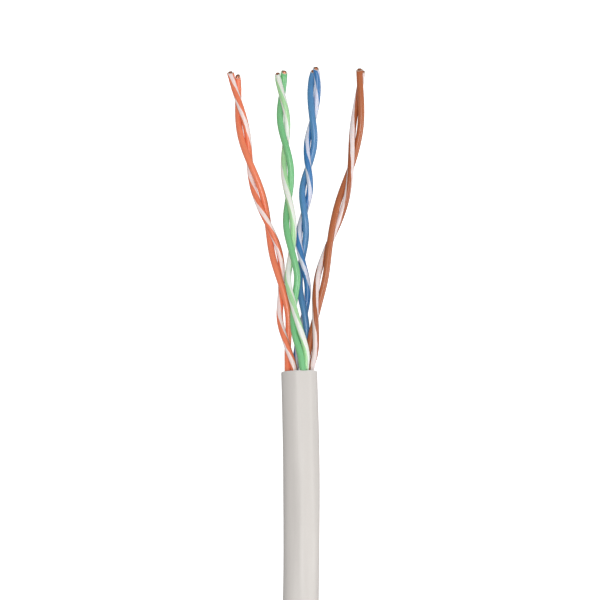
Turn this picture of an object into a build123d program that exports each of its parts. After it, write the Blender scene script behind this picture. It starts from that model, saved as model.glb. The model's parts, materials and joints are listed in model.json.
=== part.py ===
from build123d import *
import os
from math import cos, pi, radians, sin, sqrt, tan

# A four-pair network cable with its jacket stripped back and the twisted pairs fanned out.
# The origin is the centre of the jacket's cut mouth, on the cable's axis. +Y points to the wire
# tips and +Z is up. The cable lies on a flat surface at FLOOR, and its unstripped length is put
# away in a round coil behind the mouth. All sizes are in millimetres.

# The wires
CONDUCTOR_D = 0.51  # solid copper, 24 gauge
INSULATION_D = 0.95
CONDUCTOR_CLEARANCE = 0.01  # radial, between a conductor and its insulation
STRAND_GAP = 0.02  # between the two wires of one pair
PAIR_GAP = 0.03  # between the round spaces that two neighbouring pairs turn in
BARE_TIP = 0.25  # how far the cut conductor stands out of its insulation
CORNERS_PER_TURN = 8  # points on a wire's path for each full twist of its pair

# The jacket
JACKET_WALL = 0.26
JACKET_CLEARANCE = 0.02  # between the bundle and the jacket's bore
STRAIGHT_LENGTH = 55.0  # from the mouth to where the coil's solid begins
CORE_LAY = 120.0  # length in which the four pairs turn once about the cable's axis
CORE_ANGLE = 149.0  # where the orange pair stands at the mouth, in degrees from +X towards +Z
CORE_STEP = 5.0  # distance between the points of a pair's route inside the jacket
CORE_REACH = 0.8  # how far past the mouth the pairs keep on before they fan out

# Each pair bends at the mouth, so its wires are parted there
MOUTH_GAP = 0.1
CORE_END_GAP = 0.2  # between the wires inside the jacket and the coil's solid

# The coil of put-away cable
BOTTOM_ROWS = 4  # rows of cable side by side in the coil's lower layer
TOP_ROWS = 3  # rows on top of them, from the inside out
COIL_LEAD_IN_SPARE = 0.44  # straight cable in front of the ring, past the end of the jacket tube
COIL_INNER_R = 18.2
COIL_CORNER_R = 2.0
LEAD_IN_SHARE = 0.8  # share of the lead-in that the solid has as straight cable

# The strap that holds the coil together
STRAP_WIDTH = 8.0
STRAP_THICKNESS = 1.0
STRAP_CLEARANCE = 0.25
STRAP_SIDE_CLEARANCE = 0.3
STRAP_ANGLE = -38.0  # place on the ring, in degrees from +X

# Each pair: its colour, its place in the core in quarter turns from the orange pair, the lay of
# its twist in the jacket, where its route runs past the mouth as x, y, z, where its two wires
# cross as seen from above, and where the plain and the striped wire are cut, as y.
# In the first crossing listed, the plain wire lies on top. The next has the striped wire on top.
PAIRS = {
    "orange": {
        "quarter": 0,
        "lay": 18.5,
        "route": ((-1.60, 3.0, 0.45), (-2.14, 7.0, 0.14), (-2.36, 11.5, -0.04), (-3.35, 17.5, -0.20),
                  (-5.10, 23.5, -0.50), (-7.00, 29.5, -0.80), (-8.30, 36.0, -1.10), (-9.40, 43.4, -1.40)),
        "crossings": (-5.2, 3.4, 12.6, 21.4, 30.4, 39.5, 49.0),
        "tips": (43.0, 43.5),
    },
    "green": {
        "quarter": -1,
        "lay": 14.9,
        "route": ((0.68, 2.5, 1.30), (-0.55, 6.6, 1.30), (-0.96, 11.0, 1.02), (-0.95, 16.0, 0.60),
                  (-1.45, 22.0, 0.15), (-1.62, 28.5, -0.40), (-2.10, 34.5, -0.80), (-2.44, 39.0, -1.00),
                  (-2.68, 43.8, -1.30)),
        "crossings": (-1.3, 9.4, 17.4, 25.2, 33.0, 40.3, 48.0),
        "tips": (43.6, 43.3),
    },
    "blue": {
        "quarter": 1,
        "lay": 13.3,
        "route": ((0.10, 3.0, -1.35), (0.80, 7.0, -1.32), (0.75, 11.5, -1.20), (0.25, 17.0, -1.15),
                  (0.70, 23.0, -1.20), (1.25, 29.5, -1.35), (1.85, 35.0, -1.40), (2.12, 39.5, -1.45),
                  (2.25, 44.2, -1.55)),
        "crossings": (-6.9, 0.9, 8.5, 16.4, 23.2, 29.8, 36.6, 45.2),
        "tips": (43.8, 44.1),
    },
    "brown": {
        "quarter": 2,
        "lay": 21.7,
        "route": ((1.90, 3.0, -0.30), (2.20, 6.8, 0.00), (2.75, 11.5, -0.20), (4.10, 18.0, -0.60),
                  (6.00, 24.0, -0.80), (7.45, 29.5, -1.00), (8.20, 34.5, -1.15), (8.65, 39.0, -1.30),
                  (8.92, 44.0, -1.50)),
        "crossings": (-2.9, 7.8, 19.1, 29.7, 41.6, 58.0),
        "tips": (43.9, 43.7),
    },
}
HINGED_PAIRS = ("orange", "green", "brown")

# Worked out from the sizes above
PAIR_R = INSULATION_D + STRAND_GAP / 2  # round space that one pair turns in
CORE_R = sqrt(2) * (PAIR_R + PAIR_GAP / 2)  # circle of the four pairs' centres
BORE_R = CORE_R + PAIR_R + JACKET_CLEARANCE
JACKET_R = BORE_R + JACKET_WALL
JACKET_D = 2 * JACKET_R
FLOOR = -JACKET_R
# The corners of a wire's path stand out further than its helix, because the runs between them cut inside
HELIX_R = (INSULATION_D + STRAND_GAP) / 2 / cos(pi / CORNERS_PER_TURN)
COIL_OUTER_R = COIL_INNER_R + BOTTOM_ROWS * JACKET_D
COIL_TOP_R = COIL_INNER_R + TOP_ROWS * JACKET_D
COIL_TOP = FLOOR + 2 * JACKET_D
COIL_X = COIL_OUTER_R - JACKET_R
# Straight cable from the end of the jacket tube to the coil's first turn, so that the ring clears the tube
COIL_LEAD_IN = sqrt(COIL_OUTER_R**2 - (COIL_OUTER_R - JACKET_D) ** 2) + COIL_LEAD_IN_SPARE
COIL_Y = -(STRAIGHT_LENGTH + COIL_LEAD_IN)
RELIEF_DEPTH = STRAP_THICKNESS + STRAP_CLEARANCE  # the strap passes under the coil, level with its base


def save(name, piece):
    """Label a finished piece and write it as one node."""
    piece.part.label = name
    export_step(piece.part, f"parts/{name}.step")


def arc_radii(points):
    """The largest tangent arc at each inner corner that leaves both of its runs some straight."""
    radii = []
    for before, corner, after in zip(points, points[1:], points[2:]):
        turn = radians((corner - before).get_angle(after - corner))
        shorter = min((corner - before).length, (after - corner).length)
        radii.append(0.45 * shorter / tan(turn / 2))
    return radii


def core_point(quarter, y):
    """Centre of a pair inside the jacket, where the four pairs turn about the cable's axis."""
    angle = radians(CORE_ANGLE + 90 * quarter + 360 * y / CORE_LAY)
    return Vector(CORE_R * cos(angle), y, CORE_R * sin(angle))


def pair_route(pair):
    """Route points of a pair's centre, from the end of the jacket tube to its tips."""
    length = STRAIGHT_LENGTH + CORE_REACH
    steps = round(length / CORE_STEP)
    inside = [core_point(pair["quarter"], CORE_REACH - length * n / steps) for n in range(steps, -1, -1)]
    return inside + [Vector(*point) for point in pair["route"]]


def half_twists(pair, y):
    """How many times the pair's wires have crossed by y, counted from its first listed crossing."""
    crossings = pair["crossings"]
    if y <= crossings[0]:
        return (y - crossings[0]) / (pair["lay"] / 2)
    n = max(n for n, crossing in enumerate(crossings[:-1]) if crossing <= y)
    return n + (y - crossings[n]) / (crossings[n + 1] - crossings[n])


def wire_point(pair, line, share, striped):
    """A point of one wire's path, beside its pair's centre line at a share of that line's length."""
    centre, along = line.position_at(share), line.tangent_at(share)
    side = along.cross(Vector(0, 0, 1)).normalized()
    up = side.cross(along)
    angle = -pi * half_twists(pair, centre.Y) + (pi if striped else 0)
    return centre + side * (HELIX_R * sin(angle)) + up * (HELIX_R * cos(angle))


def share_at(line, y):
    """The share of a centre line's length at which it passes y."""
    low, high = 0.0, 1.0
    for _ in range(30):
        middle = (low + high) / 2
        low, high = (middle, high) if line.position_at(middle).Y < y else (low, middle)
    return low


def wire_path(pair, line, striped, start_y, end_y):
    """Path points of one wire of a pair from start_y to end_y, evenly spaced."""
    start, end = share_at(line, start_y), share_at(line, end_y)
    steps = round(CORNERS_PER_TURN * (end_y - start_y) / pair["lay"])
    return [wire_point(pair, line, start + (end - start) * n / steps, striped) for n in range(steps + 1)]


def swept_tube(name, points, outer_r, inner_r=0.0, extra=0.0):
    """A round wire, or a tube where it has an inner radius, along straight runs and tangent arcs."""
    points = list(points)
    points[-1] += (points[-1] - points[-2]).normalized() * extra
    radii = arc_radii(points)
    with BuildPart() as tube:
        with BuildLine() as path:
            FilletPolyline(*points, radius=radii)
        line = path.wire()
        with BuildSketch(Plane(origin=line @ 0, z_dir=line % 0)):
            Circle(outer_r)
            if inner_r:
                Circle(inner_r, mode=Mode.SUBTRACT)
        sweep(path=line)
    section = pi * (outer_r**2 - inner_r**2)
    print(f"{name}: radii {min(radii):.1f} to {max(radii):.1f}, length {line.length:.1f},"
          f" volume {tube.part.volume / (section * line.length):.4f} of section times length")
    save(name, tube)


def wire(name, pair, line, striped, start_y, end_y, bare_end):
    """One insulated wire: its insulation and, inside it, its copper conductor."""
    points = wire_path(pair, line, striped, start_y, end_y)
    bare = BARE_TIP if bare_end else 0.0
    swept_tube(f"{name}_insulation", points, INSULATION_D / 2, CONDUCTOR_D / 2 + CONDUCTOR_CLEARANCE)
    swept_tube(f"{name}_conductor", points, CONDUCTOR_D / 2, extra=bare)


def twisted_pair(colour, pair):
    """Both wires of a pair, in one length or parted at the mouth where the pair can be bent."""
    route = pair_route(pair)
    with BuildLine() as centre:
        FilletPolyline(*route, radius=arc_radii(route))
    line = centre.wire()
    for striped, name in ((False, colour), (True, f"white_{colour}")):
        tip = pair["tips"][striped]
        if colour in HINGED_PAIRS:
            wire(f"{name}_inner", pair, line, striped, CORE_END_GAP - STRAIGHT_LENGTH, -MOUTH_GAP / 2, False)
            wire(name, pair, line, striped, MOUTH_GAP / 2, tip, True)
        else:
            wire(name, pair, line, striped, CORE_END_GAP - STRAIGHT_LENGTH, tip, True)


def jacket():
    """The stripped end of the jacket, a straight tube with a square-cut mouth at the origin."""
    with BuildPart() as tube:
        with BuildSketch(Plane.XZ):
            Circle(JACKET_R)
            Circle(BORE_R, mode=Mode.SUBTRACT)
        extrude(amount=STRAIGHT_LENGTH)
    save("jacket", tube)


def ring_plane(angle, side=0.0):
    """Plane of the coil's cross-section at an angle round the ring, moved sideways along the turns."""
    across, along = (cos(radians(angle)), sin(radians(angle))), (sin(radians(angle)), -cos(radians(angle)))
    origin = (COIL_X + side * along[0], COIL_Y + side * along[1], 0)
    return Plane(origin=origin, x_dir=(*across, 0), z_dir=(*along, 0))


def coil_section(plane, lift=0.0, grow=0.0):
    """Outline of the coil's cross-section, with its lower face raised by lift, grown all round."""
    with BuildSketch(plane) as section:
        with BuildLine():
            Polyline(
                (COIL_INNER_R, FLOOR + lift),
                (COIL_OUTER_R, FLOOR + lift),
                (COIL_OUTER_R, FLOOR + JACKET_D),
                (COIL_TOP_R, COIL_TOP),
                (COIL_INNER_R, COIL_TOP),
                close=True,
            )
        make_face()
        fillet(section.vertices(), radius=COIL_CORNER_R)
        if grow:
            offset(amount=grow, kind=Kind.ARC)
    return section.sketch


def band(width, inner_grow, outer_grow):
    """A straight band round the coil where its strap goes, between two growths of its raised outline."""
    plane = ring_plane(STRAP_ANGLE, -width / 2)
    outer, inner = (coil_section(plane, RELIEF_DEPTH, grow) for grow in (outer_grow, inner_grow))
    with BuildPart() as loop:
        extrude(outer, amount=width)
        extrude(inner, amount=width, mode=Mode.SUBTRACT)
    return loop.part


def cable_coil():
    """The put-away cable as one closed solid: a ring of stacked turns and the straight cable into it."""
    relief = band(STRAP_WIDTH + 2 * STRAP_SIDE_CLEARANCE, 0.0, 2 * RELIEF_DEPTH)
    section = coil_section(ring_plane(0))
    with BuildPart() as coil:
        revolve(section, axis=Axis((COIL_X, COIL_Y, 0), (0, 0, 1)))
        add(relief, mode=Mode.SUBTRACT)
        with BuildSketch(Plane.XZ.offset(STRAIGHT_LENGTH)):
            Circle(JACKET_R)
        extrude(amount=COIL_LEAD_IN * LEAD_IN_SHARE)
    save("cable_coil", coil)


def coil_strap():
    """The hook-and-loop strap, wrapped once round the coil in its relief."""
    loop = band(STRAP_WIDTH, STRAP_CLEARANCE, STRAP_CLEARANCE + STRAP_THICKNESS)
    with BuildPart() as strap:
        add(loop)
    save("coil_strap", strap)


os.makedirs("parts", exist_ok=True)
print(f"jacket {JACKET_D:.2f} across, coil {2 * COIL_OUTER_R:.1f} across and {2 * JACKET_D:.1f} high")
jacket()
for pair_colour, pair_sizes in PAIRS.items():
    twisted_pair(pair_colour, pair_sizes)
cable_coil()
coil_strap()
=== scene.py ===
"""The look of a stripped four-pair network cable, built round its CAD frame. All sizes are in metres."""

import json
from collections import namedtuple
from math import cos, exp, pi, radians, sin, sqrt

import bmesh
import bpy
from mathutils import Matrix, Vector, noise

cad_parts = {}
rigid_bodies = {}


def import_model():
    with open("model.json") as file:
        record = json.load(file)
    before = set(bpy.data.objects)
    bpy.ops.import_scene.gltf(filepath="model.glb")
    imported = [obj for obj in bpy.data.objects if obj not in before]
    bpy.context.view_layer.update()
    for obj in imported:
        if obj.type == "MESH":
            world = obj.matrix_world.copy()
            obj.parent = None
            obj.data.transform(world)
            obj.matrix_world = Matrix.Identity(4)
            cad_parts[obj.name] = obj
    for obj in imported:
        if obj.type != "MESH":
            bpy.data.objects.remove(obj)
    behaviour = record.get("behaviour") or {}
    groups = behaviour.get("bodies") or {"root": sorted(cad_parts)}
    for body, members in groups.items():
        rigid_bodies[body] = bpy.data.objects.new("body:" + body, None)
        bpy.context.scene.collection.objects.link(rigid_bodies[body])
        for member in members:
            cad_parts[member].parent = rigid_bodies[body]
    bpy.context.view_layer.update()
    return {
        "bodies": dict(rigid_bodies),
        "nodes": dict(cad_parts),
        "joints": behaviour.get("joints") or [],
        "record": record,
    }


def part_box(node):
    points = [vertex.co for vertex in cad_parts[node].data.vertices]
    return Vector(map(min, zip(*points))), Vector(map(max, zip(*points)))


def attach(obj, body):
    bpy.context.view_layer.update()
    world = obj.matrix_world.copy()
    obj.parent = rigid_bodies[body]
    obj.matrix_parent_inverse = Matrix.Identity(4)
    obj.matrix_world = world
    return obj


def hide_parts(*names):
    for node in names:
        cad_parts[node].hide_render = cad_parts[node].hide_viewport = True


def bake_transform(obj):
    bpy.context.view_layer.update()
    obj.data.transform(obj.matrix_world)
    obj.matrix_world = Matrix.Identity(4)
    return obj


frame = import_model()

UP = Vector((0, 0, 1))
MM = 0.001

# The wires and the pairs, as in the CAD source
CONDUCTOR_R = 0.51 * MM / 2
INSULATION_R = 0.95 * MM / 2
INSULATION_BORE_R = CONDUCTOR_R + 0.01 * MM
STRAND_GAP = 0.02 * MM
PAIR_GAP = 0.03 * MM
PAIR_R = 2 * INSULATION_R + STRAND_GAP / 2
HELIX_R = INSULATION_R + STRAND_GAP / 2
CORE_R = sqrt(2) * (PAIR_R + PAIR_GAP / 2)
CORE_LAY = 120 * MM
CORE_ANGLE = 149.0
CORE_STEP = 5 * MM
CORE_REACH = 0.8 * MM
BARE_TIP = 0.25 * MM

# Each pair: its place in the core in quarter turns from the orange pair, the lay of its twist in the
# jacket, where its route runs past the mouth, where its wires cross as seen from above, with the plain
# wire on top at the first crossing, and where the plain and the striped wire are cut.
# The rest is looks only: where a white stripe of the striped wire faces straight up, its width as a share
# of half the way round, where the two wires stand apart and by how much, and how wide each cut end is
# squeezed and how far it slants.
PAIRS = {
    "orange": {
        "quarter": 0,
        "lay": 0.0185,
        "route": (
            (-0.00160, 0.0030, 0.00045), (-0.00214, 0.0070, 0.00014), (-0.00236, 0.0115, -0.00004),
            (-0.00335, 0.0175, -0.00020), (-0.00510, 0.0235, -0.00050), (-0.00700, 0.0295, -0.00080),
            (-0.00830, 0.0360, -0.00110), (-0.00940, 0.0434, -0.00140),
        ),
        "crossings": (-0.0052, 0.0034, 0.0126, 0.0214, 0.0304, 0.0395, 0.0490),
        "tips": (0.0430, 0.0435),
        "white_up": (-0.0060, 0.0012, 0.0080, 0.0163, 0.0227, 0.0280, 0.0368, 0.0430, 0.0500),
        "white_width": 0.42,
        "parted": ((0.0074, 0.00026), (0.0170, 0.00006)),
        "cuts": ((0.82, 0.25), (1.12, -0.15)),
    },
    "green": {
        "quarter": -1,
        "lay": 0.0149,
        "route": (
            (0.00068, 0.0025, 0.00130), (-0.00055, 0.0066, 0.00130), (-0.00096, 0.0110, 0.00102),
            (-0.00095, 0.0160, 0.00060), (-0.00145, 0.0220, 0.00015), (-0.00162, 0.0285, -0.00040),
            (-0.00210, 0.0345, -0.00080), (-0.00244, 0.0390, -0.00100), (-0.00268, 0.0438, -0.00130),
        ),
        "crossings": (-0.0013, 0.0094, 0.0174, 0.0252, 0.0330, 0.0403, 0.0480),
        "tips": (0.0436, 0.0433),
        "white_up": (-0.0050, 0.0060, 0.0142, 0.0256, 0.0348, 0.0432, 0.0520),
        "white_width": 0.52,
        "parted": ((0.0135, 0.00034),),
        "cuts": ((1.06, -0.20), (0.80, 0.20)),
    },
    "blue": {
        "quarter": 1,
        "lay": 0.0133,
        "route": (
            (0.00010, 0.0030, -0.00135), (0.00080, 0.0070, -0.00132), (0.00075, 0.0115, -0.00120),
            (0.00025, 0.0170, -0.00115), (0.00070, 0.0230, -0.00120), (0.00125, 0.0295, -0.00135),
            (0.00185, 0.0350, -0.00140), (0.00212, 0.0395, -0.00145), (0.00225, 0.0442, -0.00155),
        ),
        "crossings": (-0.0069, 0.0009, 0.0085, 0.0164, 0.0232, 0.0298, 0.0366, 0.0452),
        "tips": (0.0438, 0.0441),
        "white_up": (-0.0040, 0.0030, 0.0076, 0.0152, 0.0206, 0.0266, 0.0332, 0.0394, 0.0460),
        "white_width": 0.42,
        "parted": ((0.0122, 0.00014), (0.0264, 0.00006)),
        "cuts": ((0.78, 0.20), (0.94, -0.25)),
    },
    "brown": {
        "quarter": 2,
        "lay": 0.0217,
        "route": (
            (0.00190, 0.0030, -0.00030), (0.00220, 0.0068, 0.00000), (0.00275, 0.0115, -0.00020),
            (0.00410, 0.0180, -0.00060), (0.00600, 0.0240, -0.00080), (0.00745, 0.0295, -0.00100),
            (0.00820, 0.0345, -0.00115), (0.00865, 0.0390, -0.00130), (0.00892, 0.0440, -0.00150),
        ),
        "crossings": (-0.0029, 0.0078, 0.0191, 0.0297, 0.0416, 0.0580),
        "tips": (0.0439, 0.0437),
        "white_up": (-0.0060, 0.0025, 0.0150, 0.0205, 0.0342, 0.0450),
        "white_width": 0.54,
        "parted": ((0.0140, 0.00012), (0.0354, 0.00006)),
        "cuts": ((1.03, 0.10), (0.90, 0.20)),
    },
}
HINGED_PAIRS = ("orange", "green", "brown")
SPREAD = 0.04 * MM  # how far apart two wires of a pair stand where they lie side by side
SPREAD_START = 8 * MM  # the spread grows from nothing at the mouth to its full size here
PARTED_REACH = 2.5 * MM

# The jacket and the cable in it
jacket_low, jacket_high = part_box("jacket")
coil_low, coil_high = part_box("cable_coil")
JACKET_R = (jacket_high.x - jacket_low.x) / 2
JACKET_D = 2 * JACKET_R
JACKET_BORE_R = CORE_R + PAIR_R + 0.02 * MM
FLOOR = jacket_low.z
INSIDE_LENGTH = 25 * MM  # how far the separate wires reach into the jacket
MOUTH_DEPTH = 26 * MM
FAR_DEPTH = 4 * MM
BOW = 0.37 * MM  # the straight stretch behind the mouth bends a little to the right
BOW_LENGTH = 42 * MM

# The coil of put-away cable, wound inwards on the surface and then outwards on top of that
COIL_OUTER_R = (coil_high.x - coil_low.x) / 2
COIL_CENTRE = Vector((coil_low.x + COIL_OUTER_R, coil_low.y + COIL_OUTER_R, 0))
COIL_START_R = COIL_OUTER_R - JACKET_R
POINTS_PER_TURN = 24
BOTTOM_TURNS = 3
TOP_TURNS = 2.06
CLIMB_START, CLIMB_END = -36.0, 90.0  # degrees before and after the bottom turns' end
OUTWARD_START = 36.0

# The strap round the coil
STRAP_ANGLE = -38.0
STRAP_WIDTH = 8 * MM
STRAP_THICKNESS = 1 * MM
STRAP_GAP = 0.15 * MM
STRAP_LIFT = STRAP_THICKNESS + 0.25 * MM
LIFT_REACH = 34.0  # degrees of the ring on each side of the strap over which the turns rise
LIFT_FLAT = 10.0
STRAP_START = -20  # where its inner end lies round the coil's section, in degrees from outwards to up
STRAP_LAP = 112  # how far its outer end goes on past that
STRAP_LAP_RAMP = 40
STRAP_LAP_LIFT = 1.06 * STRAP_THICKNESS  # how far the lapped end stands off
STRAP_OUTLINE_STEP = 3

WIRE_SEGMENTS = 24
CONDUCTOR_SEGMENTS = 16
JACKET_SEGMENTS = 48
PAIR_RESOLUTION = 12
CABLE_RESOLUTION = 8
STRAIGHT_STEP = 7 * MM
STRAIGHT_POINTS = 11

# A ring of a skin: the frame of its line, its radius and how far along it is, how much of it is a cut face,
# how far it is turned, how its outline is stretched and how far it leans to the right and up
Ring = namedtuple(
    "Ring", "frame radius along cut turn wide high slant tilt shape",
    defaults=(0.0, 0.0, 1.0, 1.0, 0.0, 0.0, None),
)


def smooth(share):
    """A step from 0 to 1 that starts and ends level."""
    share = min(max(share, 0.0), 1.0)
    return share * share * (3 - 2 * share)


# --- Lines that the cable and its wires follow ---


def spline_points(points, resolution):
    """Points read along the smooth line that has a route's points as its control points."""
    curve = bpy.data.curves.new("route", "CURVE")
    curve.dimensions = "3D"
    curve.resolution_u = resolution
    spline = curve.splines.new("NURBS")
    spline.points.add(len(points) - 1)
    for control, point in zip(spline.points, points):
        control.co = (*point, 1)
    spline.order_u = 3
    spline.use_endpoint_u = True
    route = bpy.data.objects.new("route", curve)
    mesh = bpy.data.meshes.new_from_object(route)
    line = [vertex.co.copy() for vertex in mesh.vertices]
    bpy.data.meshes.remove(mesh)
    bpy.data.objects.remove(route)
    bpy.data.curves.remove(curve)
    return line


def frames_along(path):
    """Each point of a path with the directions to the right of it, up from it and along it."""
    frames = []
    for before, spot, after in zip(path[:1] + path[:-1], path, path[1:] + path[-1:]):
        along = (after - before).normalized()
        across = along.cross(UP).normalized()
        frames.append((spot, across, across.cross(along), along))
    return frames


def distances(path):
    """How far along a path each of its points is."""
    so_far = [0.0]
    for before, after in zip(path, path[1:]):
        so_far.append(so_far[-1] + (after - before).length)
    return so_far


def bow(y):
    """How far to the right of its axis the straight cable lies at y."""
    return BOW * sin(pi * -y / BOW_LENGTH) if -BOW_LENGTH < y < 0 else 0.0


def core_point(quarter, y):
    """Centre of a pair inside the jacket, where the four pairs turn about the cable's axis."""
    angle = radians(CORE_ANGLE + 90 * quarter + 360 * y / CORE_LAY)
    return Vector((CORE_R * cos(angle) + bow(y), y, CORE_R * sin(angle)))


def pair_line(pair):
    """The smooth centre line of a pair, from inside the jacket to its tips."""
    steps = round(INSIDE_LENGTH / CORE_STEP)
    inside = [core_point(pair["quarter"], CORE_REACH - CORE_STEP * n) for n in range(steps, -1, -1)]
    return spline_points(inside + [Vector(point) for point in pair["route"]], PAIR_RESOLUTION)


def turns_at(places, y):
    """How many of a list of places y is past, with the share of the way to the next."""
    n = max(n for n, place in enumerate(places[:-1]) if place <= y or n == 0)
    return n + (y - places[n]) / (places[n + 1] - places[n])


def half_twists(pair, y):
    """How many times a pair's wires have crossed by y, counted from its first listed crossing."""
    crossings = pair["crossings"]
    if y < crossings[0]:
        return (y - crossings[0]) / (pair["lay"] / 2)
    return turns_at(crossings, y)


def strand_path(pair, line, striped):
    """Points of one wire, beside its pair's centre line, up to where the wire is cut."""
    path = []
    for centre, across, up, _ in frames_along(line):
        angle = -pi * half_twists(pair, centre.y) + (pi if striped else 0)
        gap = SPREAD * smooth(centre.y / SPREAD_START)
        for place, parted in pair["parted"]:
            gap += parted * exp(-(((centre.y - place) / PARTED_REACH) ** 2))
        path.append(centre + across * ((HELIX_R + gap / 2) * sin(angle)) + up * (HELIX_R * cos(angle)))
    return cut_at(path, pair["tips"][striped])


def cut_at(path, y):
    """A path cut off at y, or carried on to it."""
    kept = [point for point in path if point.y < y]
    after = path[len(kept)] if len(kept) < len(path) else kept[-1] * 2 - kept[-2]
    kept.append(kept[-1].lerp(after, (y - kept[-1].y) / (after.y - kept[-1].y)))
    return kept


def coil_place(turned):
    """Radius and height of the cable's line on the coil, at how many degrees it has turned there."""
    past = turned - 360 * BOTTOM_TURNS
    inward = min(turned, 360 * BOTTOM_TURNS)
    outward = max(past - OUTWARD_START, 0)
    from_strap = abs((turned - STRAP_ANGLE) % 360 - 180)
    lift = smooth((LIFT_REACH - from_strap) / (LIFT_REACH - LIFT_FLAT))
    climb = smooth((past - CLIMB_START) / (CLIMB_END - CLIMB_START))
    return COIL_START_R + JACKET_D * (outward - inward) / 360, JACKET_D * climb + STRAP_LIFT * lift


def on_ring(angle, radius, height):
    """A point of the coil at an angle in degrees round its centre."""
    return COIL_CENTRE + Vector((radius * cos(radians(angle)), radius * sin(radians(angle)), height))


def cable_line():
    """The smooth line of the whole jacket: straight back from the mouth, and then round the coil."""
    straight = [Vector((bow(-STRAIGHT_STEP * n), -STRAIGHT_STEP * n, 0)) for n in range(STRAIGHT_POINTS)]
    step = 360 / POINTS_PER_TURN
    coil = []
    for n in range(round((BOTTOM_TURNS + TOP_TURNS) * POINTS_PER_TURN)):
        turned = step * (n + 0.5)
        radius, height = coil_place(turned)
        # The line passes inside its control points by this much
        coil.append(on_ring(180 + turned, radius / cos(radians(step / 2)), height))
    return spline_points(straight + coil, CABLE_RESOLUTION)


# --- Meshes ---


def place_ring(bm, ring, segments):
    """A ring of vertices square to a line. The middle one is turned from straight up to the right."""
    spot, across, up, along = ring.frame
    facing = Matrix((across, up, -along)).transposed().to_4x4()
    scale = Matrix.Diagonal((ring.wide, ring.high, 1, 1))
    slant = Matrix.Identity(4)
    slant[2][0], slant[2][1] = -ring.slant, ring.tilt
    matrix = Matrix.Translation(spot) @ facing @ slant @ scale @ Matrix.Rotation(-ring.turn - pi, 4, "Z")
    verts = bmesh.ops.create_circle(bm, segments=segments, radius=ring.radius, matrix=matrix)["verts"]
    if ring.shape:
        for n, vert in enumerate(verts):
            vert.co = spot + (vert.co - spot) * ring.shape(n / segments)
    return verts


def skin(name, rings, segments, ends_joined=False):
    """A closed piece over a row of rings. Its UV map holds turns round and millimetres along."""
    bm = bmesh.new()
    uv_layer = bm.loops.layers.uv.new("around_along")
    cut_layer = bm.verts.layers.float.new("cut")
    rows = []
    for ring in rings:
        verts = place_ring(bm, ring, segments)
        for vert in verts:
            vert[cut_layer] = ring.cut
        rows.append((verts, ring.along / MM))
    following = rows[1:] + rows[:1] if ends_joined else rows[1:]
    for (low, low_v), (high, high_v) in zip(rows, following):
        for n in range(segments):
            m = (n + 1) % segments
            face = bm.faces.new((low[n], low[m], high[m], high[n]))
            corners = ((n, low_v), (n + 1, low_v), (n + 1, high_v), (n, high_v))
            for loop, (around, v) in zip(face.loops, corners):
                loop[uv_layer].uv = (around / segments, v)
    if not ends_joined:
        for verts, _ in (rows[0], rows[-1]):
            bm.faces.new(verts)
    return finished(name, bm)


def finished(name, bm, sharp=35.0):
    """The mesh as a piece of the scene, with its faces outwards and its shallow edges smooth."""
    bmesh.ops.recalc_face_normals(bm, faces=bm.faces)
    for face in bm.faces:
        face.smooth = True
    mesh = bpy.data.meshes.new(name)
    bm.to_mesh(mesh)
    bm.free()
    mesh.set_sharp_from_angle(angle=radians(sharp))
    piece = bpy.data.objects.new(name, mesh)
    bpy.context.collection.objects.link(piece)
    return piece


# --- The wires ---

SQUEEZE_REACH = 0.9 * MM
TIP_ROUNDING = 0.05 * MM
# Rings of the rounded tip: how far out as a share of the rounding, the radius, and how much is a cut face
TIP_RINGS = (
    (0.7, 0.95 * INSULATION_R, 0.4),
    (1.0, 0.85 * INSULATION_R, 1.0),
    (0.8, 1.1 * INSULATION_BORE_R, 1.0),
)
CUT_TILT = 0.65  # the upper side of each tip is cut shorter
ROUND_SHARE = 0.4  # the share of the bare copper that is still round
CHISEL_HIGH = 0.3


def white_turn(pair, y):
    """How far a white stripe is turned from straight up to the right, at y."""
    return -pi * turns_at(pair["white_up"], y)


def moved_along(frame, distance):
    """A frame moved along its own line."""
    spot, across, up, along = frame
    return spot + along * distance, across, up, along


def insulation(name, path, turns, wide=1.0, slant=0.0, tilt=0.0):
    """The plastic tube round one conductor. Side cutters left its cut end squeezed and slanted."""
    frames, so_far = frames_along(path), distances(path)
    outer = []
    for frame, along, turn in zip(frames, so_far, turns):
        near = smooth(1 - (so_far[-1] - along) / SQUEEZE_REACH)
        squeezed = {"wide": 1 + (wide - 1) * near, "high": 1 + (1 / wide - 1) * near}
        cut = {"slant": slant * near, "tilt": tilt * near}
        outer.append(Ring(frame, INSULATION_R, along, 0, turn, **squeezed, **cut))
    last = outer[-1]
    rim = [
        last._replace(frame=moved_along(last.frame, TIP_ROUNDING * out), radius=radius, cut=cut)
        for out, radius, cut in TIP_RINGS
    ]
    inner = {"radius": INSULATION_BORE_R, "cut": 1.0, "wide": 1.0, "high": 1.0}
    bore = [ring._replace(**inner) for ring in reversed(outer)]
    return skin(name, outer + rim + bore, WIRE_SEGMENTS, ends_joined=True)


def conductor(name, path, bare, wide):
    """A copper core, with its cut end pinched to a blunt wedge that stands out of the insulation."""
    rings = [Ring(frame, CONDUCTOR_R, along) for frame, along in zip(frames_along(path), distances(path))]
    last = rings[-1]
    still_round = ROUND_SHARE * bare
    rings.append(last._replace(frame=moved_along(last.frame, still_round), along=last.along + still_round))
    end = last._replace(frame=moved_along(last.frame, bare), along=last.along + bare)
    rings.append(end._replace(wide=wide, high=CHISEL_HIGH, cut=1.0))
    return skin(name, rings, CONDUCTOR_SEGMENTS)


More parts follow.
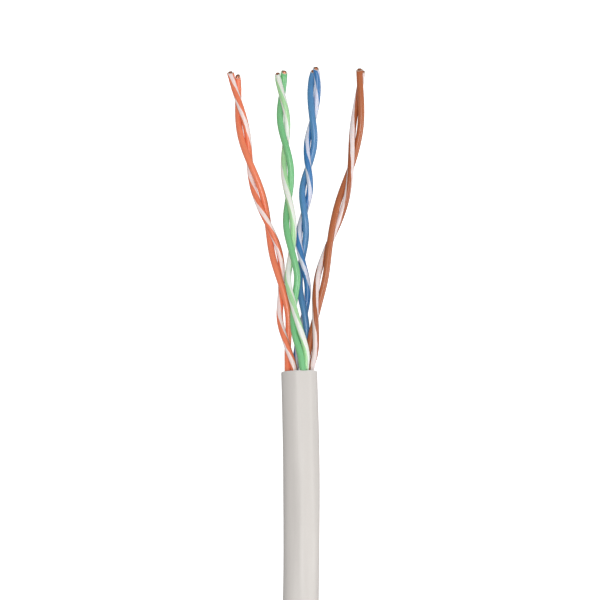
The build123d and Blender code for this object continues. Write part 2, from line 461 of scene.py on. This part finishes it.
def build_wire(colour, pair, line, striped):
    """One insulated wire of a pair, from inside the jacket to its cut tip, with its copper core."""
    name = f"white_{colour}" if striped else colour
    path = strand_path(pair, line, striped)
    wide, slant = pair["cuts"][striped]
    turns = [white_turn(pair, point.y) for point in path]
    sleeve = insulation(f"{name}_wire", path, turns, wide, slant, CUT_TILT)
    sleeve.data.materials.append(INSULATION_MATERIALS[name])
    core = conductor(f"{name}_copper", path, BARE_TIP, wide)
    core.data.materials.append(COPPER)

    sleeve_nodes, core_nodes = [f"{name}_insulation"], [f"{name}_conductor"]
    if colour in HINGED_PAIRS:
        sleeve_nodes.append(f"{name}_inner_insulation")
        core_nodes.append(f"{name}_inner_conductor")
    for piece, nodes, slot in ((sleeve, sleeve_nodes, f"{name}_insulation"), (core, core_nodes, "copper")):
        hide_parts(*nodes)
        if colour in HINGED_PAIRS:
            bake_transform(piece)
        else:
            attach(piece, "cable")


# --- The jacket ---

LOBE_DEPTH = 0.06 * MM  # the jacket stands out over the pairs and sinks between them, by this in all
CREASE_DEPTH = 0.12 * MM
CREASE_LENGTH = 16 * MM
CREASES_AROUND = 2.2
RIM_REACH = 0.30 * MM
RIM_ROUNDING = 0.08 * MM
RIM_RAGGED = 0.10 * MM
RIM_GRAIN = 0.9 * MM
FAR_WIRES_REACH = 0.2 * MM  # how far the wires at the far end run past the last point of the cable's line
FAR_BARE = 0.06 * MM


def jacket_shape(along):
    """The jacket's outline at a distance along it, as a share of its radius round the circle."""
    core_turn = radians(CORE_ANGLE) - 2 * pi * along / CORE_LAY

    def share(around):
        angle = 2 * pi * around + pi / 2
        lobe = 0.5 * cos(4 * (angle - core_turn))
        around_axis = Vector((cos(angle), sin(angle), 0)) * CREASES_AROUND
        crease = noise.noise(around_axis + UP * (along / CREASE_LENGTH))
        return 1 + (LOBE_DEPTH * lobe + CREASE_DEPTH * crease) / JACKET_R

    return share


def bore_rings(frames, so_far, depth, end):
    """Rings down the bore from one cut end of the jacket, where the end is the first or the last ring."""
    total = so_far[-1]
    rings = [Ring(frame, JACKET_BORE_R, along, 1.0) for frame, along in zip(frames, so_far)]
    return [ring for ring in reversed(rings) if abs(ring.along - total * end) < depth]


def build_jacket():
    """The jacket, from its cut mouth to the far end of the coil."""
    path = cable_line()
    frames, so_far = frames_along(path), distances(path)
    outer = []
    for frame, along in zip(frames, so_far):
        outer.append(Ring(frame, JACKET_R, along, shape=jacket_shape(along)))
    mouth_bore = bore_rings(frames, so_far, MOUTH_DEPTH, 0)
    far_bore = bore_rings(frames, so_far, FAR_DEPTH, 1)
    mouth, far = outer[0], outer[-1]
    mouth_rim = [
        mouth._replace(radius=JACKET_BORE_R + 0.05 * MM, cut=1.0, shape=None),
        mouth._replace(radius=JACKET_R - 0.03 * MM, cut=1.0),
        mouth._replace(frame=moved_along(mouth.frame, RIM_ROUNDING), cut=0.3),
        mouth._replace(frame=moved_along(mouth.frame, RIM_REACH)),
    ]
    far_end = far._replace(frame=moved_along(far.frame, 1.2 * RIM_REACH), cut=1.0)
    far_rim = [
        far._replace(frame=moved_along(far.frame, RIM_REACH)),
        far_end._replace(radius=JACKET_R - 0.04 * MM),
        far_end._replace(radius=JACKET_BORE_R + 0.03 * MM, shape=None),
    ]
    piece = skin("cable_jacket", mouth_bore + mouth_rim + outer[1:] + far_rim + far_bore, JACKET_SEGMENTS)
    for vert in piece.data.vertices:
        if vert.co.y > -0.05 * MM:
            vert.co.y += RIM_RAGGED * noise.noise(Vector((vert.co.x, 3 * MM, vert.co.z)) / RIM_GRAIN)
    piece.data.materials.append(JACKET)
    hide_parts("jacket", "cable_coil")
    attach(piece, "cable")
    build_far_end(frames[-1])


def build_far_end(frame):
    """The eight wires seen in the cut far end of the jacket, level with it."""
    spot, across, up, along = frame
    pieces = []
    for colour, pair in PAIRS.items():
        turn = radians(CORE_ANGLE + 90 * pair["quarter"])
        centre = spot + across * (CORE_R * cos(turn)) + up * (CORE_R * sin(turn))
        for striped, name in ((False, colour), (True, f"white_{colour}")):
            side = across * (HELIX_R * sin(turn) * (1 if striped else -1))
            side += up * (HELIX_R * cos(turn) * (-1 if striped else 1))
            depths = (FAR_DEPTH, FAR_DEPTH / 2, 0)
            path = [centre + side + along * (FAR_WIRES_REACH - depth) for depth in depths]
            sleeve = insulation(f"far_{name}_wire", path, [turn] * len(path))
            sleeve.data.materials.append(INSULATION_MATERIALS[name])
            core = conductor(f"far_{name}_copper", path, FAR_BARE, 1.0)
            core.data.materials.append(COPPER)
            for piece, slot in ((sleeve, f"{name}_insulation"), (core, "copper")):
                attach(piece, "cable")
                pieces.append(piece)
    return pieces


# --- The strap ---


def strap_outline():
    """The strap's line in the coil's section, as radius and height, once round and lapped."""
    first_turn = (STRAP_ANGLE - 180) % 360
    turned = [first_turn + 360 * n for n in range(int(BOTTOM_TURNS + TOP_TURNS))]
    rows = [Vector(coil_place(degrees)) for degrees in turned]
    points = []
    for degrees in range(STRAP_START, STRAP_START + 360 + STRAP_LAP + 1, STRAP_OUTLINE_STEP):
        way = Vector((cos(radians(degrees)), sin(radians(degrees))))
        lapped = smooth((degrees - STRAP_START - 360 + STRAP_LAP_RAMP) / STRAP_LAP_RAMP)
        row = max(rows, key=lambda place: place.dot(way))
        gap = JACKET_R + STRAP_GAP + STRAP_LAP_LIFT * lapped
        points.append(row + way * gap)
    return points


def evenly(points, step):
    """Points a step apart along a line of runs."""
    so_far = distances(points)
    count = round(so_far[-1] / step)
    spaced, n = [], 0
    for m in range(count + 1):
        place = so_far[-1] * m / count
        while n < len(points) - 2 and so_far[n + 1] < place:
            n += 1
        share = (place - so_far[n]) / (so_far[n + 1] - so_far[n])
        spaced.append(points[n].lerp(points[n + 1], share))
    return spaced


STRAP_STEP = 0.5 * MM
STRAP_COLUMNS = 16
STRAP_END_ROUNDING = 2.5 * MM


def build_strap():
    """The hook-and-loop strap: a flat band bent once round the coil, with its rounded end lapped over."""
    line = evenly(strap_outline(), STRAP_STEP)
    bm = bmesh.new()
    uv_layer = bm.loops.layers.uv.new("around_along")
    grid = bmesh.ops.create_grid(bm, x_segments=len(line) - 1, y_segments=STRAP_COLUMNS, size=1)
    flat = {}
    for vert in grid["verts"]:
        row = round((vert.co.x + 1) / 2 * (len(line) - 1))
        to_end = (len(line) - 1 - row) * STRAP_STEP
        inset = STRAP_END_ROUNDING - sqrt(STRAP_END_ROUNDING**2 - max(STRAP_END_ROUNDING - to_end, 0) ** 2)
        beside = vert.co.y * (STRAP_WIDTH / 2 - inset)
        flat[vert] = (beside / MM, row * STRAP_STEP / MM)
        radius, height = line[row]
        angle = radians(STRAP_ANGLE) + beside / radius
        vert.co = COIL_CENTRE + Vector((radius * cos(angle), radius * sin(angle), height))
    for face in bm.faces:
        for loop in face.loops:
            loop[uv_layer].uv = flat[loop.vert]
    # A known fault: the normals are still the flat grid's, so the thickness goes straight down from the line,
    # and the band is thin where it stands upright. Updating the normals first would thicken it outwards.
    bmesh.ops.solidify(bm, geom=bm.faces[:], thickness=STRAP_THICKNESS)
    piece = finished("strap", bm)
    piece.data.materials.append(STRAP)
    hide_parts("coil_strap")
    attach(piece, "cable")


# --- Materials ---


def add_node(tree, kind, inputs=(), **settings):
    """A node with its settings, and with each input linked to a socket or set to a value."""
    node = tree.nodes.new(kind)
    for name, value in settings.items():
        setattr(node, name, value)
    for socket, value in inputs:
        if isinstance(value, bpy.types.NodeSocket):
            tree.links.new(value, node.inputs[socket])
        else:
            node.inputs[socket].default_value = value
    return node


def maths(tree, operation, *values):
    """The result of a Math node on up to three values."""
    return add_node(tree, "ShaderNodeMath", list(enumerate(values)), operation=operation).outputs[0]


def blended(tree, share, first, second, blend="MIX"):
    """A colour between two others."""
    node = add_node(tree, "ShaderNodeMix", data_type="RGBA", blend_type=blend)
    for socket, value in zip((node.inputs[0], node.inputs[6], node.inputs[7]), (share, first, second)):
        if isinstance(value, bpy.types.NodeSocket):
            tree.links.new(value, socket)
        else:
            socket.default_value = value
    return node.outputs[2]


def between(tree, value, low, high, to_low=0.0, to_high=1.0):
    """A value mapped smoothly from one range to another."""
    names = ("Value", "From Min", "From Max", "To Min", "To Max")
    inputs = list(zip(names, (value, low, high, to_low, to_high)))
    return add_node(tree, "ShaderNodeMapRange", inputs, interpolation_type="SMOOTHSTEP").outputs["Result"]


def new_group(name, inputs, outputs):
    """An empty node group with its named sockets, its input node and its output node."""
    group = bpy.data.node_groups.new(name, "ShaderNodeTree")
    for in_out, sockets in (("INPUT", inputs), ("OUTPUT", outputs)):
        for label, kind, value in sockets:
            socket = group.interface.new_socket(label, in_out=in_out, socket_type=f"NodeSocket{kind}")
            if value is not None:
                socket.default_value = value
    return group, group.nodes.new("NodeGroupInput"), group.nodes.new("NodeGroupOutput")


def spots(tree, place, scale, detail):
    """Soft random patches, from 0 to 1."""
    inputs = (("Vector", place), ("Scale", scale), ("Detail", detail))
    return add_node(tree, "ShaderNodeTexNoise", inputs).outputs["Fac"]


def around_and_along(tree):
    """How far round and how far along its own line the surface is, from its UV map."""
    flat = add_node(tree, "ShaderNodeUVMap", uv_map="around_along").outputs[0]
    around, along, _ = add_node(tree, "ShaderNodeSeparateXYZ", ((0, flat),)).outputs
    return around, along


def cut_share(tree):
    """How much of the surface is a cut face, from the mesh's own attribute."""
    return add_node(tree, "ShaderNodeAttribute", attribute_name="cut").outputs["Fac"]


def uneven_group():
    """Colour and gloss that vary a little over the surface, in patches and in fine grain."""
    group, given, result = new_group(
        "uneven",
        (("Color", "Color", (1, 1, 1, 1)), ("Amount", "Float", 0.1), ("Patches", "Float", 120.0)),
        (("Color", "Color", None), ("Value", "Float", None)),
    )
    place = add_node(group, "ShaderNodeTexCoord").outputs["Object"]
    patches = spots(group, place, given.outputs["Patches"], 4.0)
    grain = spots(group, place, 4200.0, 2.0)
    both = maths(group, "MULTIPLY_ADD", grain, 0.3, maths(group, "MULTIPLY", patches, 0.7))
    centred = maths(group, "SUBTRACT", both, 0.5)
    doubled = maths(group, "MULTIPLY", given.outputs["Amount"], 2.0)
    factor = maths(group, "MULTIPLY_ADD", centred, doubled, 1.0)
    shade = add_node(group, "ShaderNodeCombineXYZ", ((0, factor), (1, factor), (2, factor))).outputs[0]
    group.links.new(blended(group, 1.0, given.outputs["Color"], shade, "MULTIPLY"), result.inputs["Color"])
    group.links.new(both, result.inputs["Value"])
    return group


def drawn_group():
    """Fine lines along the surface, as a die leaves on plastic or wire that is drawn through it."""
    inputs = (("Lines", "Float", 6.0), ("Length", "Float", 12.0))
    group, given, result = new_group("drawn_lines", inputs, (("Height", "Float", None),))
    around, along = around_and_along(group)
    angle = maths(group, "MULTIPLY", around, 2 * pi)
    x = maths(group, "MULTIPLY", maths(group, "COSINE", angle), given.outputs["Lines"])
    y = maths(group, "MULTIPLY", maths(group, "SINE", angle), given.outputs["Lines"])
    z = maths(group, "DIVIDE", along, given.outputs["Length"])
    place = add_node(group, "ShaderNodeCombineXYZ", ((0, x), (1, y), (2, z))).outputs[0]
    group.links.new(spots(group, place, 1.0, 3.0), result.inputs["Height"])
    return group


STRIPE_WAVES = 0.14
STRIPE_SOFTNESS = 0.02


def stripe_group():
    """Two stripes of the first colour along a wire of the second, with slightly wavy edges."""
    inputs = (("Color", "Color", (1, 1, 1, 1)), ("Stripe", "Color", (0, 0, 0, 1)), ("Width", "Float", 0.42))
    group, given, result = new_group("stripe", inputs, (("Color", "Color", None),))
    around, along = around_and_along(group)
    wave_inputs = (("W", maths(group, "MULTIPLY", along, 0.45)), ("Scale", 1.0), ("Detail", 2.0))
    waves = add_node(group, "ShaderNodeTexNoise", wave_inputs, noise_dimensions="1D").outputs["Fac"]
    repeated = maths(group, "FRACT", maths(group, "MULTIPLY_ADD", around, 2.0, 0.5))
    off_middle = maths(group, "ABSOLUTE", maths(group, "SUBTRACT", repeated, 0.5))
    half = maths(group, "MULTIPLY", given.outputs["Width"], 0.5)
    wavy = maths(group, "MULTIPLY_ADD", maths(group, "SUBTRACT", waves, 0.5), STRIPE_WAVES, half)
    edge = maths(group, "SUBTRACT", off_middle, wavy)
    coloured = between(group, edge, -STRIPE_SOFTNESS, STRIPE_SOFTNESS)
    colour = blended(group, coloured, given.outputs["Color"], given.outputs["Stripe"])
    group.links.new(colour, result.inputs["Color"])
    return group


UNEVEN, DRAWN, STRIPE = uneven_group(), drawn_group(), stripe_group()


def placed(tree, group, **values):
    """A node group placed in a material with its own values."""
    node = tree.nodes.new("ShaderNodeGroup")
    node.node_tree = group
    for name, value in values.items():
        if isinstance(value, bpy.types.NodeSocket):
            tree.links.new(value, node.inputs[name])
        else:
            node.inputs[name].default_value = value
    return node


def new_material(name, **settings):
    """A material with its Principled shader's plain sockets set."""
    material = bpy.data.materials.new(name)
    material.use_nodes = True
    shader = material.node_tree.nodes["Principled BSDF"]
    for socket, value in settings.items():
        shader.inputs[socket.replace("_", " ")].default_value = value
    return material, material.node_tree, shader


def bumped(tree, shader, height, strength, distance):
    """Surface detail from a height."""
    inputs = (("Height", height), ("Strength", strength), ("Distance", distance))
    bump = add_node(tree, "ShaderNodeBump", inputs)
    tree.links.new(bump.outputs["Normal"], shader.inputs["Normal"])


def insulation_material(name, colour, stripe=None, white_width=0.0):
    """Smooth extruded polyethylene, with paler plastic where it is cut."""
    material, tree, shader = new_material(
        f"{name}_insulation", IOR=1.5,
        Subsurface_Weight=0.12, Subsurface_Radius=(1.0, 0.7, 0.5), Subsurface_Scale=0.4 * MM,
    )
    plain = colour
    if stripe:
        plain = placed(tree, STRIPE, Color=colour, Stripe=stripe, Width=white_width).outputs["Color"]
    uneven = placed(tree, UNEVEN, Color=plain, Amount=0.10, Patches=260.0)
    pale = blended(tree, 0.8, colour, CUT_PLASTIC)
    shown = blended(tree, cut_share(tree), uneven.outputs["Color"], pale)
    tree.links.new(shown, shader.inputs["Base Color"])
    roughness = between(tree, uneven.outputs["Value"], 0.3, 0.7, 0.26, 0.38)
    tree.links.new(roughness, shader.inputs["Roughness"])
    lines = placed(tree, DRAWN, Lines=5.0, Length=9.0).outputs["Height"]
    height = maths(tree, "MULTIPLY_ADD", uneven.outputs["Value"], 0.25, lines)
    bumped(tree, shader, height, 0.35, 0.03 * MM)
    return material


def jacket_material():
    """Soft matt PVC, with faint lengthwise creases and a paler cut rim."""
    material, tree, shader = new_material("jacket_pvc", IOR=1.5)
    lines = placed(tree, DRAWN, Lines=7.0, Length=22.0).outputs["Height"]
    creases = placed(tree, DRAWN, Lines=2.2, Length=9.0).outputs["Height"]
    uneven = placed(tree, UNEVEN, Color=JACKET_COLOUR, Amount=0.06, Patches=140.0)
    streaks = between(tree, lines, 0.62, 0.78, 0.0, 0.16)
    streaked = blended(tree, streaks, uneven.outputs["Color"], JACKET_SHADE)
    shown = blended(tree, cut_share(tree), streaked, JACKET_CUT)
    tree.links.new(shown, shader.inputs["Base Color"])
    tree.links.new(between(tree, creases, 0.3, 0.7, 0.40, 0.55), shader.inputs["Roughness"])
    drawn = maths(tree, "MULTIPLY_ADD", lines, 0.5, creases)
    height = maths(tree, "MULTIPLY_ADD", uneven.outputs["Value"], 0.2, drawn)
    bumped(tree, shader, height, 0.5, 0.06 * MM)
    return material


def copper_material():
    """Bright drawn copper, darker on its cut end faces."""
    material, tree, shader = new_material("bare_copper", Metallic=1.0)
    uneven = placed(tree, UNEVEN, Color=COPPER_COLOUR, Amount=0.25, Patches=900.0)
    shown = blended(tree, cut_share(tree), uneven.outputs["Color"], COPPER_CUT)
    tree.links.new(shown, shader.inputs["Base Color"])
    roughness = between(tree, uneven.outputs["Value"], 0.3, 0.7, 0.22, 0.42)
    tree.links.new(roughness, shader.inputs["Roughness"])
    bumped(tree, shader, placed(tree, DRAWN, Lines=9.0, Length=3.0).outputs["Height"], 0.3, 0.01 * MM)
    return material


def strap_material():
    """Black woven band with a nap of fine loops."""
    material, tree, shader = new_material("hook_and_loop", Sheen_Weight=0.5, Sheen_Roughness=0.5)
    place = add_node(tree, "ShaderNodeUVMap", uv_map="around_along").outputs[0]
    row_inputs = (("Vector", place), ("Scale", 1.4), ("Distortion", 1.2), ("Detail", 2.0))
    rows = add_node(tree, "ShaderNodeTexWave", row_inputs, bands_direction="Y").outputs["Fac"]
    loops = add_node(tree, "ShaderNodeTexVoronoi", (("Vector", place), ("Scale", 5.0))).outputs["Distance"]
    nap = spots(tree, place, 9.0, 4.0)
    uneven = placed(tree, UNEVEN, Color=STRAP_COLOUR, Amount=0.4, Patches=700.0)
    woven = maths(tree, "MULTIPLY_ADD", rows, 0.3, nap)
    height = maths(tree, "ADD", maths(tree, "MULTIPLY", loops, 0.8), woven)
    shown = blended(tree, between(tree, height, 0.5, 1.5), uneven.outputs["Color"], STRAP_LIGHT)
    tree.links.new(shown, shader.inputs["Base Color"])
    tree.links.new(between(tree, nap, 0.3, 0.7, 0.75, 0.95), shader.inputs["Roughness"])
    bumped(tree, shader, height, 0.9, 0.25 * MM)
    return material


def rgb(red, green, blue):
    """A shader colour from the 0 to 255 values that a screen shows."""
    return (*(((value / 255 + 0.055) / 1.055) ** 2.4 for value in (red, green, blue)), 1)


CUT_PLASTIC = rgb(246, 236, 218)
JACKET_COLOUR = rgb(216, 211, 206)
JACKET_SHADE = rgb(170, 163, 158)
JACKET_CUT = rgb(232, 230, 226)
COPPER_COLOUR = rgb(190, 120, 90)
# The copper's cut end faces get this darker colour, which gives a small dark spot at each tip
COPPER_CUT = rgb(96, 66, 54)
STRAP_COLOUR = rgb(22, 22, 24)
STRAP_LIGHT = rgb(52, 52, 56)
PLAIN_COLOURS = {
    "orange": rgb(246, 136, 98),
    "green": rgb(126, 200, 138),
    "blue": rgb(84, 140, 190),
    "brown": rgb(184, 104, 62),
}
# The white and the colour of each striped wire
STRIPED_COLOURS = {
    "orange": (rgb(253, 229, 225), rgb(243, 130, 92)),
    "green": (rgb(236, 240, 230), rgb(172, 222, 164)),
    "blue": (rgb(216, 220, 238), rgb(60, 124, 184)),
    "brown": (rgb(244, 226, 224), rgb(172, 94, 54)),
}
JACKET = jacket_material()
COPPER = copper_material()
STRAP = strap_material()
INSULATION_MATERIALS = {}
for wire_colour, plain_colour in PLAIN_COLOURS.items():
    INSULATION_MATERIALS[wire_colour] = insulation_material(wire_colour, plain_colour)
    white_name = f"white_{wire_colour}"
    INSULATION_MATERIALS[white_name] = insulation_material(
        white_name, *STRIPED_COLOURS[wire_colour], PAIRS[wire_colour]["white_width"]
    )

for pair_colour, pair_sizes in PAIRS.items():
    pair_middle = pair_line(pair_sizes)
    build_wire(pair_colour, pair_sizes, pair_middle, striped=False)
    build_wire(pair_colour, pair_sizes, pair_middle, striped=True)
build_jacket()
build_strap()

# --- The stage, the light and the camera ---

CAMERA_TARGET = Vector((0.116 * MM, 10.4 * MM, 0))
CAMERA_ELEVATION = radians(84)
CAMERA_LENS = 600
SENSOR_WIDTH = 36
VIEW_WIDTH = 86.4 * MM
FLOOR_SIZE = 3
FLOOR_COLOUR = (0.62, 0.62, 0.62, 1)
WHITE = (1, 1, 1, 1)
LIT_PLACE = Vector((0, 0.01, 0))
WORLD_LIGHT = 0.39


def white_to_camera(tree, strength, otherwise):
    """Full strength where the camera sees a surface directly, and another strength for its light."""
    seen = add_node(tree, "ShaderNodeLightPath").outputs["Is Camera Ray"]
    tree.links.new(between(tree, seen, 0.0, 1.0, otherwise, 1.0), strength)


def build_floor():
    """A surface that the camera sees as even white."""
    bm = bmesh.new()
    bmesh.ops.create_grid(bm, x_segments=1, y_segments=1, size=FLOOR_SIZE)
    bmesh.ops.translate(bm, vec=(0, 0, FLOOR), verts=bm.verts)
    floor_piece = finished("floor", bm)
    material, tree, shader = new_material("floor_white", Roughness=0.9)
    shader.inputs["Base Color"].default_value = FLOOR_COLOUR
    shader.inputs["Emission Color"].default_value = WHITE
    white_to_camera(tree, shader.inputs["Emission Strength"], otherwise=0.0)
    floor_piece.data.materials.append(material)


def build_light(name, place, size, energy):
    """A square soft box that faces the fan of wires."""
    data = bpy.data.lights.new(name, "AREA")
    data.size, data.energy = size, energy
    lamp = bpy.data.objects.new(name, data)
    bpy.context.collection.objects.link(lamp)
    lamp.location = place
    lamp.rotation_euler = (LIT_PLACE - Vector(place)).to_track_quat("-Z", "Y").to_euler()


def build_world():
    """White round the object, with an even soft light on it."""
    world = bpy.data.worlds.new("studio")
    bpy.context.scene.world = world
    world.use_nodes = True
    background = world.node_tree.nodes["Background"]
    background.inputs["Color"].default_value = WHITE
    white_to_camera(world.node_tree, background.inputs["Strength"], otherwise=WORLD_LIGHT)


def build_camera():
    """A long lens from almost straight above, tipped back towards the coil."""
    data = bpy.data.cameras.new("camera")
    data.lens, data.sensor_width = CAMERA_LENS, SENSOR_WIDTH
    data.clip_start, data.clip_end = 0.01, 10
    camera = bpy.data.objects.new("camera", data)
    bpy.context.collection.objects.link(camera)
    towards = Vector((0, -cos(CAMERA_ELEVATION), sin(CAMERA_ELEVATION)))
    camera.location = CAMERA_TARGET + towards * (VIEW_WIDTH * CAMERA_LENS / SENSOR_WIDTH)
    camera.rotation_euler = (-towards).to_track_quat("-Z", "Y").to_euler()
    bpy.context.scene.camera = camera


build_floor()
build_light("overhead", place=(0.02, -0.10, 0.60), size=0.24, energy=2.0)
build_light("side", place=(0.50, -0.04, 0.15), size=0.16, energy=0.7)
build_world()
build_camera()
bpy.context.scene.view_settings.view_transform = "Standard"
